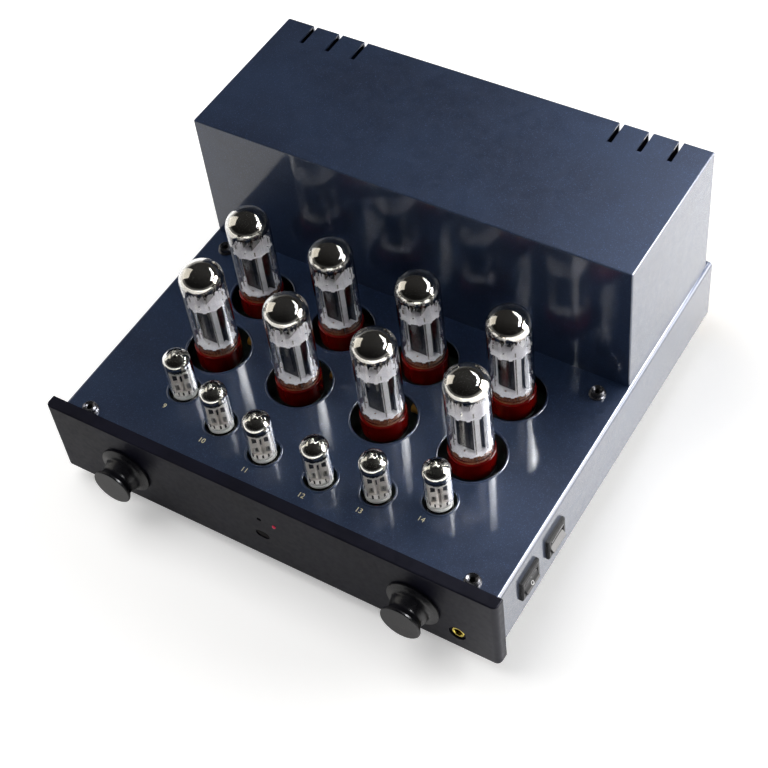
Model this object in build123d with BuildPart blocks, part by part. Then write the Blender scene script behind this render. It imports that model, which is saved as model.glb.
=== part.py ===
from build123d import *
import os
from math import cos, radians, sin

os.makedirs("parts", exist_ok=True)


def finish(part, name):
    part.label = name
    export_step(part, f"parts/{name}.step")


# ---------------------------------------------------------------- overall frame
# Z = 0 is the floor under the feet, X = 0 the middle of the width, and Y runs from the
# knob faces in front (-201) to the ends of the speaker posts behind (+201).
panel_w, panel_h, panel_t = 386.0, 73.0, 10.0      # thick aluminium front panel
panel_front, panel_z0 = -181.5, 15.0
case_w, case_top, case_z0 = 375.5, 78.2, 21.2      # folded steel case behind it
case_front, case_back = panel_front + panel_t, 177.8
sheet = 1.5
case_mid = (case_front + case_back) / 2
case_len = case_back - case_front
under_top = case_top - sheet

cover_w, cover_front, cover_back, cover_top = 370.0, 36.6, 172.1, 198.0
slot_w, slot_front = 4.0, 149.5
slot_xs = [s * x for s in (-1, 1) for x in (111.3, 135.0, 159.0)]

power_spots = [(x, y) for y in (-69.0, -8.0) for x in (-111.9, -37.3, 37.3, 111.9)]
power_hole_r = 25.0
signal_spots = [(s * x, y) for x, y in ((111.5, -115.5), (68.5, -129.3), (24.7, -137.3)) for s in (-1, 1)]
signal_hole_r = 12.5

knob_x, knob_z = 126.0, 47.7
jack_x, jack_z = 160.0, 32.8
window_x, window_z = -2.0, 44.6
eye_z = 63.9
led_x, led_z, led_r = 11.0, 62.7, 1.6
cage_spots = [(s * x, y) for x, y in ((165.3, -164.3), (167.0, 20.4)) for s in (-1, 1)]

# ---------------------------------------------------------------- folded steel case
flange = 14.0
rocker_ys, rocker_z = (-128.5, -89.5), 50.0
rocker_body_y, rocker_body_z = 22.0, 18.0
gap = 0.2
with BuildPart() as chassis_shell:
    with BuildSketch(Plane.XZ.offset(-case_back)):
        with Locations((0, (case_top + case_z0) / 2)):
            Rectangle(case_w, case_top - case_z0)
        fillet(vertices().group_by(Axis.Y)[-1], 3.0)
        with Locations((0, (case_top + case_z0) / 2)):
            RectangleRounded(case_w - 2 * sheet, case_top - case_z0 - 2 * sheet, 1.4, mode=Mode.SUBTRACT)
        with Locations((0, case_z0 + sheet / 2)):
            Rectangle(case_w - 2 * flange, 2 * sheet, mode=Mode.SUBTRACT)
    extrude(amount=case_len)
    # front wall folded down behind the panel
    with Locations((0, case_front + sheet / 2, (case_top + case_z0) / 2)):
        Box(case_w - 2 * sheet - 0.4, sheet, case_top - case_z0 - 2.0 * sheet)
    # holes the valves stand in
    with Locations(*[(x, y, case_top) for x, y in power_spots]):
        Cylinder(power_hole_r, 8, mode=Mode.SUBTRACT)
    with Locations(*[(x, y, case_top) for x, y in signal_spots]):
        Cylinder(signal_hole_r, 8, mode=Mode.SUBTRACT)
    # sockets for the cage legs, and lead holes under the transformers
    with Locations(*[(x, y, case_top) for x, y in cage_spots]):
        Cylinder(4.2, 8, mode=Mode.SUBTRACT)
    with Locations(*[(x, y, case_top) for x in (-120, 0, 120) for y in (56.0, 156.0)]):
        Cylinder(7.0, 8, mode=Mode.SUBTRACT)
    # side cut-outs for the two rocker switches
    with Locations(*[(case_w / 2, y, rocker_z) for y in rocker_ys]):
        Box(8, rocker_body_y + gap, rocker_body_z + gap, mode=Mode.SUBTRACT)
    # front wall holes for the controls, lamp, window and phone jack
    with BuildSketch(Plane.XZ.offset(-case_front + 1)):
        with Locations((-knob_x, knob_z), (knob_x, knob_z)):
            Circle(5.2)
        with Locations((jack_x, jack_z)):
            Circle(6.0)
        with Locations(((window_x + led_x) / 2, (window_z + led_z) / 2)):
            Rectangle(34, 32)
    extrude(amount=-6, mode=Mode.SUBTRACT)
finish(chassis_shell.part, "chassis_shell")

# ---------------------------------------------------------------- front panel
with BuildPart() as front_panel:
    with Locations((0, panel_front + panel_t / 2, panel_z0 + panel_h / 2)):
        Box(panel_w, panel_t, panel_h)
    front_face = faces().sort_by(Axis.Y)[0]
    fillet(front_face.edges().filter_by(Axis.Z), 4.2)
    fillet(faces().sort_by(Axis.Y)[0].edges().group_by(Axis.Z)[-1], 1.0)
    fillet(faces().sort_by(Axis.Y)[0].edges().group_by(Axis.Z)[0], 1.0)
    with BuildSketch(Plane.XZ.offset(-panel_front + 1)):
        with Locations((-knob_x, knob_z), (knob_x, knob_z)):
            Circle(5.2)
        with Locations((jack_x, jack_z)):
            Circle(5.3)
        with Locations((led_x, led_z)):
            Circle(led_r + 0.05)
        with Locations((window_x, window_z)):
            SlotOverall(12.0, 8.0)
        with Locations((window_x, eye_z)):
            SlotOverall(4.0, 3.0)
    extrude(amount=-panel_t - 2, mode=Mode.SUBTRACT)
    with BuildSketch(Plane.XZ.offset(-panel_front)):
        with Locations((jack_x, jack_z)):
            Circle(6.8)
    extrude(amount=-1.6, mode=Mode.SUBTRACT)
finish(front_panel.part, "front_panel")

with BuildPart() as ir_window:
    with BuildSketch(Plane.XZ.offset(-panel_front - 0.6)):
        with Locations((window_x, window_z)):
            SlotOverall(11.8, 7.8)
    extrude(amount=-(panel_t - 2.0))
    fillet(edges().group_by(Axis.Y)[0], 0.4)
finish(ir_window.part, "ir_window")

with BuildPart() as power_led:
    with Locations((led_x, panel_front + 3.6, led_z)):
        Cylinder(led_r, 8.8, rotation=(90, 0, 0))
    fillet(edges().group_by(Axis.Y)[0], 0.9)
finish(power_led.part, "power_led")

# ---------------------------------------------------------------- phone jack
jack_bore_r = 3.25
with BuildPart() as jack_ring:
    with BuildSketch(Plane.XZ.offset(-panel_front - 1.0)):
        with Locations((jack_x, jack_z)):
            Circle(5.2)
            Circle(jack_bore_r, mode=Mode.SUBTRACT)
    extrude(amount=-(panel_t - 1.0 + sheet))
    chamfer(edges().group_by(Axis.Y)[0], 0.5)
finish(jack_ring.part, "jack_ring")

with BuildPart() as jack_body:
    with Locations((jack_x, case_front + sheet + 14.5, jack_z)):
        Box(16, 29, 17)
    fillet(edges().filter_by(Axis.Y), 1.5)
    with Locations((jack_x, case_front + sheet + 13.0, jack_z)):
        Cylinder(jack_bore_r, 26, rotation=(90, 0, 0), mode=Mode.SUBTRACT)
finish(jack_body.part, "jack_body")

# ---------------------------------------------------------------- bottom plate, feet
bottom_t = 1.2
foot_h = case_z0 - bottom_t
foot_spots = [(x, y) for x in (-158.0, 158.0) for y in (-142.0, 150.0)]
floor_screws = [(s * 181.0, y) for s in (-1, 1) for y in (-150.0, -60.0, 30.0, 120.0)]
with BuildPart() as bottom_plate:
    with Locations((0, (case_front + 2.0 + case_back - 1.0) / 2, case_z0 - bottom_t / 2)):
        Box(case_w - 3.0, case_len - 3.0, bottom_t)
    with Locations((0, -40, case_z0 - bottom_t / 2), (0, 95, case_z0 - bottom_t / 2)):
        with GridLocations(44, 11, 7, 7):
            Box(34, 3.6, 4, mode=Mode.SUBTRACT)
    with Locations(*[(x, y, case_z0) for x, y in floor_screws]):
        Cylinder(1.8, 8, mode=Mode.SUBTRACT)
    with Locations(*[(x, y, case_z0) for x, y in foot_spots]):
        Cylinder(2.2, 8, mode=Mode.SUBTRACT)
finish(bottom_plate.part, "bottom_plate")

with BuildPart() as feet:
    for x, y in foot_spots:
        with BuildSketch(Plane.XZ.offset(-y)):
            with BuildLine():
                Polyline((x + 2.2, 7), (x + 5.2, 7), (x + 5.2, 0), (x + 15.0, 0), (x + 16.0, 1.0),
                         (x + 18.5, foot_h - 2), (x + 18.5, foot_h), (x + 2.2, foot_h), (x + 2.2, 7))
            make_face()
        revolve(axis=Axis((x, y, 0), (0, 0, 1)))
finish(feet.part, "feet")

with BuildPart() as foot_screws:
    with Locations(*[(x, y, 4.2) for x, y in foot_spots]):
        Cylinder(4.0, 2.6, align=(Align.CENTER, Align.CENTER, Align.MIN))
        Cylinder(2.0, 20.0, align=(Align.CENTER, Align.CENTER, Align.MIN))
    with Locations(*[(x, y, 4.2) for x, y in foot_spots]):
        Box(5.6, 1.0, 2.4, mode=Mode.SUBTRACT)
        Box(1.0, 5.6, 2.4, mode=Mode.SUBTRACT)
finish(foot_screws.part, "foot_screws")

# ---------------------------------------------------------------- transformer cover
with BuildPart() as transformer_cover:
    cover_mid = (cover_front + cover_back) / 2
    cover_len = cover_back - cover_front
    with Locations((0, cover_mid, case_top)):
        Box(cover_w, cover_len, cover_top - case_top, align=(Align.CENTER, Align.CENTER, Align.MIN))
    fillet(edges().filter_by(Axis.Z), 1.2)
    fillet(faces().sort_by(Axis.Z)[-1].edges(), 1.0)
    with Locations((0, cover_mid, case_top - 1)):
        Box(cover_w - 2 * sheet, cover_len - 2 * sheet, cover_top - case_top - sheet + 1,
            align=(Align.CENTER, Align.CENTER, Align.MIN), mode=Mode.SUBTRACT)
    # cooling slots run off the rear edge of the top and down the back
    with Locations(*[(x, slot_front + 20, cover_top) for x in slot_xs]):
        Box(slot_w, 40, 60, mode=Mode.SUBTRACT)
    with Locations(*[(x, cover_back, case_top + 8) for x in (-150, -50, 50, 150)]):
        Cylinder(1.8, 8, rotation=(90, 0, 0), mode=Mode.SUBTRACT)
finish(transformer_cover.part, "transformer_cover")

# ---------------------------------------------------------------- rear panel and its connectors
rear_z0, rear_z1 = case_z0 + sheet + 0.3, under_top - 0.2
rear_in = case_back - sheet
rca_spots = [(x, z) for x in (82.0, 100.0, 118.0, 136.0, 154.0, 172.0) for z in (38.0, 60.0)]
post_xs = (54.0, 30.0, 6.0, -30.0, -54.0, -78.0)
post_z = 49.0
inlet_x, inlet_z, inlet_w, inlet_h = -146.0, 49.0, 46.0, 27.0
with BuildPart() as rear_panel:
    with Locations((0, rear_in + sheet / 2, (rear_z0 + rear_z1) / 2)):
        Box(case_w - 2 * sheet - 0.4, sheet, rear_z1 - rear_z0)
    fillet(edges().filter_by(Axis.Y), 2.0)
    with Locations(*[(x, rear_in, z) for x, z in rca_spots]):
        Cylinder(4.2, 8, rotation=(90, 0, 0), mode=Mode.SUBTRACT)
    with Locations(*[(x, rear_in, post_z) for x in post_xs]):
        Cylinder(4.6, 8, rotation=(90, 0, 0), mode=Mode.SUBTRACT)
    with Locations((inlet_x, rear_in, inlet_z)):
        Box(inlet_w + gap, 8, inlet_h + gap, mode=Mode.SUBTRACT)
    with Locations(*[(x, rear_in, z) for x in (-180, 62, 180) for z in (29.0, 70.0)]):
        Cylinder(1.8, 8, rotation=(90, 0, 0), mode=Mode.SUBTRACT)
finish(rear_panel.part, "rear_panel")

rca_out = case_back + 13.5
with BuildPart() as rca_shells:
    for x, z in rca_spots:
        with BuildSketch(Plane.XY.offset(z)):
            with BuildLine():
                Polyline((x + 3.2, case_back - 8), (x + 3.9, case_back - 8), (x + 3.9, case_back + 1.2),
                         (x + 5.6, case_back + 1.2), (x + 5.6, case_back + 4.0), (x + 4.15, case_back + 4.0),
                         (x + 4.15, rca_out), (x + 3.2, rca_out), (x + 3.2, case_back - 8))
            make_face()
        revolve(axis=Axis((x, 0, z), (0, 1, 0)))
finish(rca_shells.part, "rca_shells")

with BuildPart() as rca_insulators:
    for x, z in rca_spots:
        with BuildSketch(Plane.XY.offset(z)):
            with BuildLine():
                Polyline((x + 1.65, case_back - 10), (x + 3.2, case_back - 10), (x + 3.2, rca_out - 1.5),
                         (x + 1.65, rca_out - 1.5), (x + 1.65, case_back - 10))
            make_face()
            with BuildLine():
                Polyline((x + 4.0, case_back), (x + 6.8, case_back), (x + 6.8, case_back + 1.2),
                         (x + 4.0, case_back + 1.2), (x + 4.0, case_back))
            make_face()
        revolve(axis=Axis((x, 0, z), (0, 1, 0)))
finish(rca_insulators.part, "rca_insulators")

stud_r, banana_r = 3.0, 2.05
post_out = 200.4
with BuildPart() as post_studs:
    for x in post_xs:
        with BuildSketch(Plane.XY.offset(post_z)):
            with BuildLine():
                Polyline((x, case_back - 16), (x + stud_r, case_back - 16), (x + stud_r, post_out),
                         (x + banana_r, post_out), (x + banana_r, case_back + 2), (x, case_back + 2),
                         (x, case_back - 16))
            make_face()
        revolve(axis=Axis((x, 0, post_z), (0, 1, 0)))
finish(post_studs.part, "post_studs")

collar_out = case_back + 4.4
with BuildPart() as post_collars:
    for x in post_xs:
        with BuildSketch(Plane.XY.offset(post_z)):
            with BuildLine():
                Polyline((x + stud_r, case_back - 4), (x + 4.5, case_back - 4), (x + 4.5, case_back),
                         (x + 8.2, case_back), (x + 8.2, collar_out - 0.8), (x + 7.4, collar_out),
                         (x + stud_r, collar_out), (x + stud_r, case_back - 4))
            make_face()
        revolve(axis=Axis((x, 0, post_z), (0, 1, 0)))
finish(post_collars.part, "post_collars")

# one screw-down cap per speaker post, grooved round its rim for grip
cap_in, cap_out, cap_r = collar_out + 0.35, 201.0, 7.6
for n, post_x in enumerate(post_xs, start=1):
    with BuildPart() as post_cap:
        with BuildSketch(Plane.XY.offset(post_z)):
            with BuildLine():
                Polyline((post_x + stud_r + 0.05, cap_in), (post_x + cap_r - 1.6, cap_in),
                         (post_x + cap_r - 1.6, cap_in + 2.4), (post_x + cap_r, cap_in + 3.2),
                         (post_x + cap_r, cap_out - 1.0), (post_x + cap_r - 1.0, cap_out),
                         (post_x + stud_r + 0.05, cap_out), (post_x + stud_r + 0.05, cap_in))
            make_face()
        revolve(axis=Axis((post_x, 0, post_z), (0, 1, 0)))
        with Locations((post_x, (cap_in + cap_out) / 2 + 3, post_z)):
            with Locations(Rot(X=-90)):
                with PolarLocations(cap_r + 0.35, 16):
                    Cylinder(0.8, 10.0, mode=Mode.SUBTRACT)
    finish(post_cap.part, f"post_cap_{n}")

# mains inlet: a flanged moulding with the plug well above its fuse drawer
well_w, well_h, well_depth = 25.0, 16.5, 17.0
well_x = inlet_x + 8.5
drawer_x, drawer_w, drawer_h = inlet_x - 15.0, 9.0, 19.0
with BuildPart() as mains_inlet:
    with Locations((inlet_x, case_back - 10.5, inlet_z)):
        Box(inlet_w, 21, inlet_h)
    with Locations((inlet_x, case_back + 1.5, inlet_z)):
        Box(inlet_w + 8, 3.0, inlet_h + 5)
    fillet(faces().sort_by(Axis.Y)[-1].edges(), 1.0)
    with Locations((well_x, case_back + 3.0 - well_depth / 2, inlet_z)):
        Box(well_w, well_depth, well_h, mode=Mode.SUBTRACT)
    with Locations((drawer_x, case_back + 3.0 - 9.0, inlet_z)):
        Box(drawer_w, 18.0, drawer_h, mode=Mode.SUBTRACT)
finish(mains_inlet.part, "mains_inlet")

blade_spots = [(well_x + dx, inlet_z + dz) for dx, dz in ((-7.0, -2.0), (0.0, 2.0), (7.0, -2.0))]
well_floor = case_back + 3.0 - well_depth
with BuildPart() as inlet_pins:
    for x, z in blade_spots:
        with Locations((x, well_floor + 6.2, z)):
            Box(2.0, 12.4, 4.0)
        with Locations((x, case_back - 21.0 - 4.0, z)):
            Box(0.8, 8.0, 4.8)
finish(inlet_pins.part, "inlet_pins")

with BuildPart() as fuse_drawer:
    with Locations((drawer_x, case_back + 3.4 - 8.5, inlet_z)):
        Box(drawer_w - 0.8, 16.6, drawer_h - 0.8)
    with Locations((drawer_x, case_back + 3.2 + 0.3, inlet_z)):
        Box(drawer_w - 0.8, 1.4, drawer_h - 0.8)
    with Locations((drawer_x, case_back + 4.2, inlet_z + 7.4)):
        Box(5.0, 2.0, 1.4, mode=Mode.SUBTRACT)
    # side pocket that carries the cartridge fuse
    with Locations((drawer_x + 1.4, case_back - 5.0, inlet_z)):
        Box(6.4, 6.4, 15.0, mode=Mode.SUBTRACT)
finish(fuse_drawer.part, "fuse_drawer")

# ---------------------------------------------------------------- case screws
with BuildPart() as panel_screws:
    for x, z in [(x, z) for x in (-180, 62, 180) for z in (29.0, 70.0)]:
        with Locations((x, case_back + 0.9, z)):
            Cylinder(3.0, 1.8, rotation=(90, 0, 0))
        with Locations((x, case_back - 3.2, z)):
            Cylinder(1.6, 6.4, rotation=(90, 0, 0))
        with Locations((x, case_back + 1.4, z)):
            Box(3.6, 1.2, 0.7, mode=Mode.SUBTRACT)
            Box(0.7, 1.2, 3.6, mode=Mode.SUBTRACT)
    for x in (-150, -50, 50, 150):
        with Locations((x, cover_back + 0.9, case_top + 8)):
            Cylinder(3.0, 1.8, rotation=(90, 0, 0))
        with Locations((x, cover_back - 3.2, case_top + 8)):
            Cylinder(1.6, 6.4, rotation=(90, 0, 0))
        with Locations((x, cover_back + 1.4, case_top + 8)):
            Box(3.6, 1.2, 0.7, mode=Mode.SUBTRACT)
            Box(0.7, 1.2, 3.6, mode=Mode.SUBTRACT)
    for x, y in floor_screws:
        with Locations((x, y, foot_h - 0.9)):
            Cylinder(3.0, 1.8)
        with Locations((x, y, foot_h + 0.6)):
            Cylinder(1.6, 1.2)
        with Locations((x, y, foot_h - 1.4)):
            Box(3.6, 0.7, 1.2, mode=Mode.SUBTRACT)
            Box(0.7, 3.6, 1.2, mode=Mode.SUBTRACT)
finish(panel_screws.part, "panel_screws")

# ---------------------------------------------------------------- cage leg sockets
with BuildPart() as cage_bushings:
    for x, y in cage_spots:
        with BuildSketch(Plane.XZ.offset(-y)):
            with BuildLine():
                Polyline((x + 2.1, case_top - 9), (x + 4.0, case_top - 9), (x + 4.0, case_top),
                         (x + 6.4, case_top), (x + 6.4, case_top + 1.0), (x + 5.4, case_top + 1.6),
                         (x + 5.4, case_top + 4.2), (x + 4.4, case_top + 5.0), (x + 3.0, case_top + 4.4),
                         (x + 2.1, case_top + 3.6), (x + 2.1, case_top - 9))
            make_face()
        revolve(axis=Axis((x, y, 0), (0, 0, 1)))
finish(cage_bushings.part, "cage_bushings")

# ---------------------------------------------------------------- power valves (octal)
base_r, base_z0, base_z1 = 17.7, 69.0, 86.5
bulb_r, bulb_wall, bulb_top = 17.0, 1.0, 169.0
dome_z = 156.5
mica_low, mica_high, mica_r, mica_t = 93.0, 135.0, 15.2, 0.8
pin_circle, pin_r, pin_len = 8.72, 1.18, 11.0
spigot_r, spigot_len = 4.0, 12.5

with BuildPart() as power_tube_bases:
    for x, y in power_spots:
        with BuildSketch(Plane.XZ.offset(-y)):
            with BuildLine():
                Polyline((x, base_z0 - spigot_len), (x + spigot_r - 0.8, base_z0 - spigot_len),
                         (x + spigot_r, base_z0 - spigot_len + 0.8), (x + spigot_r, base_z0),
                         (x + base_r - 1.2, base_z0), (x + base_r, base_z0 + 1.2),
                         (x + base_r, base_z1 - 0.5), (x + base_r - 0.5, base_z1),
                         (x + 16.0, base_z1), (x + 16.0, base_z0 + 3.0),
                         (x, base_z0 + 3.0), (x, base_z0 - spigot_len))
            make_face()
        revolve(axis=Axis((x, y, 0), (0, 0, 1)))
        # key on the spigot that sets which way round the valve goes in
        with Locations((x, y - spigot_r - 0.2, base_z0 - spigot_len / 2)):
            Box(1.6, 1.6, spigot_len - 1.5)
    with Locations(*[(x, y, base_z0 + 1.0) for x, y in power_spots]):
        with PolarLocations(pin_circle, 8, start_angle=22.5):
            Cylinder(pin_r, 6.0, mode=Mode.SUBTRACT)
finish(power_tube_bases.part, "power_tube_bases")

with BuildPart() as power_tube_pins:
    with Locations(*[(x, y, base_z0 + 3.0 - (pin_len + 3.0) / 2) for x, y in power_spots]):
        with PolarLocations(pin_circle, 8, start_angle=22.5):
            Cylinder(pin_r, pin_len + 3.0)
    fillet(edges().group_by(Axis.Z)[0], 0.6)
finish(power_tube_pins.part, "power_tube_pins")

with BuildPart() as power_tube_glass:
    for x, y in power_spots:
        with BuildSketch(Plane.XZ.offset(-y)):
            with BuildLine():
                outer = Polyline((x + 15.7, base_z0 + 6), (x + 15.7, base_z1 - 0.2))
                Spline((x + 15.7, base_z1 - 0.2), (x + bulb_r, base_z1 + 4.5),
                       tangents=[(0, 1), (0, 1)])
                Line((x + bulb_r, base_z1 + 4.5), (x + bulb_r, dome_z))
                Spline((x + bulb_r, dome_z), (x + 0.72 * bulb_r, bulb_top - 3.4), (x, bulb_top),
                       tangents=[(0, 1), (-1, 0)])
                Line((x, bulb_top), (x, bulb_top - bulb_wall))
                Spline((x, bulb_top - bulb_wall), (x + 0.72 * bulb_r - 0.7, bulb_top - 4.2),
                       (x + bulb_r - bulb_wall, dome_z), tangents=[(1, 0), (0, -1)])
                Line((x + bulb_r - bulb_wall, dome_z), (x + bulb_r - bulb_wall, base_z1 + 4.5))
                Spline((x + bulb_r - bulb_wall, base_z1 + 4.5), (x + 14.7, base_z1 - 0.2),
                       tangents=[(0, -1), (0, -1)])
                Polyline((x + 14.7, base_z1 - 0.2), (x + 14.7, base_z0 + 6), (x + 15.7, base_z0 + 6))
            make_face()
        revolve(axis=Axis((x, y, 0), (0, 0, 1)))
finish(power_tube_glass.part, "power_tube_glass")

# anode: a flattened box with a wing each side, and crimped ribs
anode_w, anode_d = 19.0, 13.0
with BuildPart() as power_tube_plates:
    with BuildSketch(Plane.XY.offset(mica_low + mica_t)):
        with Locations(*power_spots):
            RectangleRounded(anode_w, anode_d, 4.0)
            Rectangle(28.0, 1.2)
            RectangleRounded(anode_w - 1.2, anode_d - 1.2, 3.4, mode=Mode.SUBTRACT)
    extrude(amount=mica_high - mica_low - mica_t)
    with BuildSketch(Plane.XY.offset(mica_low + 6)):
        with Locations(*[(x, y + s * (anode_d / 2 + 0.5)) for x, y in power_spots for s in (-1, 1)]):
            Rectangle(6.0, 1.2)
    extrude(amount=mica_high - mica_low - 12)
    with Locations(*[(x + dx, y + s * anode_d / 2, (mica_low + mica_high) / 2)
                     for x, y in power_spots for s in (-1, 1) for dx in (-6.2, 6.2)]):
        Box(2.4, 4, 5.0, mode=Mode.SUBTRACT)
finish(power_tube_plates.part, "power_tube_plates")

rod_spots = [(x + dx, y + dy) for x, y in power_spots for dx in (-9.0, 9.0) for dy in (-8.6, 8.6)]
eyelets = ((-11.5, -4), (11.5, 4), (0, -9.6), (4, 11))
with BuildPart() as power_tube_micas:
    for z in (mica_low, mica_high):
        with BuildSketch(Plane.XY.offset(z)):
            for x, y in power_spots:
                with Locations((x, y)):
                    Circle(mica_r - 0.8)
                    with PolarLocations(mica_r - 0.7, 12):
                        Rectangle(1.6, 2.6)
            with Locations(*rod_spots):
                Circle(0.65, mode=Mode.SUBTRACT)
            with Locations(*[(x + dx, y + dy) for x, y in power_spots for dx, dy in eyelets]):
                Circle(0.8, mode=Mode.SUBTRACT)
            with Locations(*power_spots):
                Rectangle(3.0, 5.0, mode=Mode.SUBTRACT)
        extrude(amount=mica_t)
finish(power_tube_micas.part, "power_tube_micas")

# side rods that carry the micas, cathode sleeve, and the getter hoop on top
hoop_z = 149.0
with BuildPart() as power_tube_getters:
    with Locations(*[(x, y, 82.0) for x, y in rod_spots]):
        Cylinder(0.55, mica_high + 4.0 - 82.0, align=(Align.CENTER, Align.CENTER, Align.MIN))
    with Locations(*[(x, y, 84.0) for x, y in power_spots]):
        Cylinder(1.2, mica_high + 3.0 - 84.0, align=(Align.CENTER, Align.CENTER, Align.MIN))
    with Locations(*[(x, y - 2.0, hoop_z) for x, y in power_spots]):
        Torus(5.5, 0.7)
    with Locations(*[(x, y + 3.6, (mica_high + mica_t + hoop_z) / 2) for x, y in power_spots]):
        Box(0.8, 0.5, hoop_z - mica_high - mica_t)
finish(power_tube_getters.part, "power_tube_getters")

socket_z0, socket_z1 = 55.0, base_z0 - 0.1
with BuildPart() as octal_sockets:
    with BuildSketch(Plane.XY.offset(socket_z0)):
        with Locations(*power_spots):
            Circle(17.2)
    extrude(amount=socket_z1 - socket_z0)
    chamfer(edges().group_by(Axis.Z)[-1], 1.0)
    with BuildSketch(Plane.XY.offset(socket_z0 - 0.5)):
        with Locations(*power_spots):
            Circle(spigot_r + 0.3)
        with Locations(*[(x, y - spigot_r - 0.2) for x, y in power_spots]):
            Rectangle(2.2, 2.4)
    extrude(amount=20, mode=Mode.SUBTRACT)
    with Locations(*[(x, y, socket_z1 - 6.0) for x, y in power_spots]):
        with PolarLocations(pin_circle, 8, start_angle=22.5):
            Cylinder(pin_r + 0.25, 12.6, mode=Mode.SUBTRACT)
finish(octal_sockets.part, "octal_sockets")

# ---------------------------------------------------------------- signal valves (nine pin)
tube_r, tube_z0, tube_shoulder, tube_tip = 10.6, 75.4, 112.5, 124.6
with BuildPart() as signal_tube_glass:
    for x, y in signal_spots:
        with BuildSketch(Plane.XZ.offset(-y)):
            with BuildLine():
                Line((x, tube_z0), (x + tube_r - 1.6, tube_z0))
                RadiusArc((x + tube_r - 1.6, tube_z0), (x + tube_r, tube_z0 + 1.6), -1.6)
                Line((x + tube_r, tube_z0 + 1.6), (x + tube_r, tube_shoulder))
                Spline((x + tube_r, tube_shoulder), (x + 0.68 * tube_r, tube_shoulder + 6.2),
                       (x + 1.6, tube_tip - 4.0), (x + 1.1, tube_tip - 1.6), (x, tube_tip),
                       tangents=[(0, 1), (-1, 0)])
                Line((x, tube_tip), (x, tube_tip - 5.2))
                Spline((x, tube_tip - 5.2), (x + 0.6 * tube_r, tube_shoulder + 5.4),
                       (x + tube_r - 0.9, tube_shoulder), tangents=[(1, 0), (0, -1)])
                Line((x + tube_r - 0.9, tube_shoulder), (x + tube_r - 0.9, tube_z0 + 2.4))
                Polyline((x + tube_r - 0.9, tube_z0 + 2.4), (x, tube_z0 + 2.4), (x, tube_z0))
            make_face()
        revolve(axis=Axis((x, y, 0), (0, 0, 1)))
finish(signal_tube_glass.part, "signal_tube_glass")

small_low, small_high, small_t = 81.5, 105.5, 0.6
small_turn = 38.0      # the sockets are set at an angle, so the anodes face the front right corner
nine = [(5.95 * cos(radians(36 * k + 90 + small_turn)), 5.95 * sin(radians(36 * k + 90 + small_turn)))
        for k in range(1, 10)]
signal_seats = [Location((x, y, 0), (0, 0, 1), small_turn) for x, y in signal_spots]
with BuildPart() as signal_tube_pins:
    with Locations(*[(x + dx, y + dy, tube_z0) for x, y in signal_spots for dx, dy in nine]):
        Cylinder(0.5, 7.0, align=(Align.CENTER, Align.CENTER, Align.MAX))
finish(signal_tube_pins.part, "signal_tube_pins")

with BuildPart() as signal_tube_plates:
    with BuildSketch(Plane.XY.offset(small_low + small_t)):
        with Locations(*signal_seats):
            with Locations((-4.3, 0), (4.3, 0)):
                RectangleRounded(7.4, 9.6, 1.6)
                RectangleRounded(6.4, 8.6, 1.2, mode=Mode.SUBTRACT)
    extrude(amount=small_high - small_low - small_t)
    # windows pressed through the broad faces, two to each anode
    with Locations(*signal_seats):
        with Locations(*[(dx, s * 4.6, (small_low + small_high) / 2 + dz)
                         for dx in (-4.3, 4.3) for s in (-1, 1) for dz in (-5.5, 5.5)]):
            Box(3.2, 2.0, 6.0, mode=Mode.SUBTRACT)
finish(signal_tube_plates.part, "signal_tube_plates")

with BuildPart() as signal_tube_micas:
    for z in (small_low, small_high):
        with BuildSketch(Plane.XY.offset(z)):
            with Locations(*signal_seats):
                Circle(8.8)
                with PolarLocations(8.7, 8):
                    Rectangle(1.2, 1.6)
                with Locations((-4.3, 0), (4.3, 0)):
                    Circle(0.9, mode=Mode.SUBTRACT)
        extrude(amount=small_t)
finish(signal_tube_micas.part, "signal_tube_micas")

with BuildPart() as signal_tube_getters:
    with Locations(*signal_seats):
        with Locations((-4.3, 0, 78.2), (4.3, 0, 78.2)):
            Cylinder(0.7, small_high + 2.0 - 78.2, align=(Align.CENTER, Align.CENTER, Align.MIN))
        with Locations((0, 0, 110.5)):
            Torus(3.6, 0.5)
        with Locations((0, 3.6, small_high + small_t)):
            Box(0.7, 0.5, 110.5 - small_high - small_t, align=(Align.CENTER, Align.CENTER, Align.MIN))
finish(signal_tube_getters.part, "signal_tube_getters")

with BuildPart() as noval_sockets:
    with BuildSketch(Plane.XY.offset(65.6)):
        with Locations(*signal_spots):
            Circle(9.6)
    extrude(amount=tube_z0 - 0.1 - 65.6)
    chamfer(edges().group_by(Axis.Z)[-1], 0.8)
    with Locations(*[(x + dx, y + dy, 72.0) for x, y in signal_spots for dx, dy in nine]):
        Cylinder(0.75, 9.0, mode=Mode.SUBTRACT)
    with Locations(*[(x, y, 72.0) for x, y in signal_spots]):
        Cylinder(1.6, 20.0, mode=Mode.SUBTRACT)
finish(noval_sockets.part, "noval_sockets")

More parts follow.
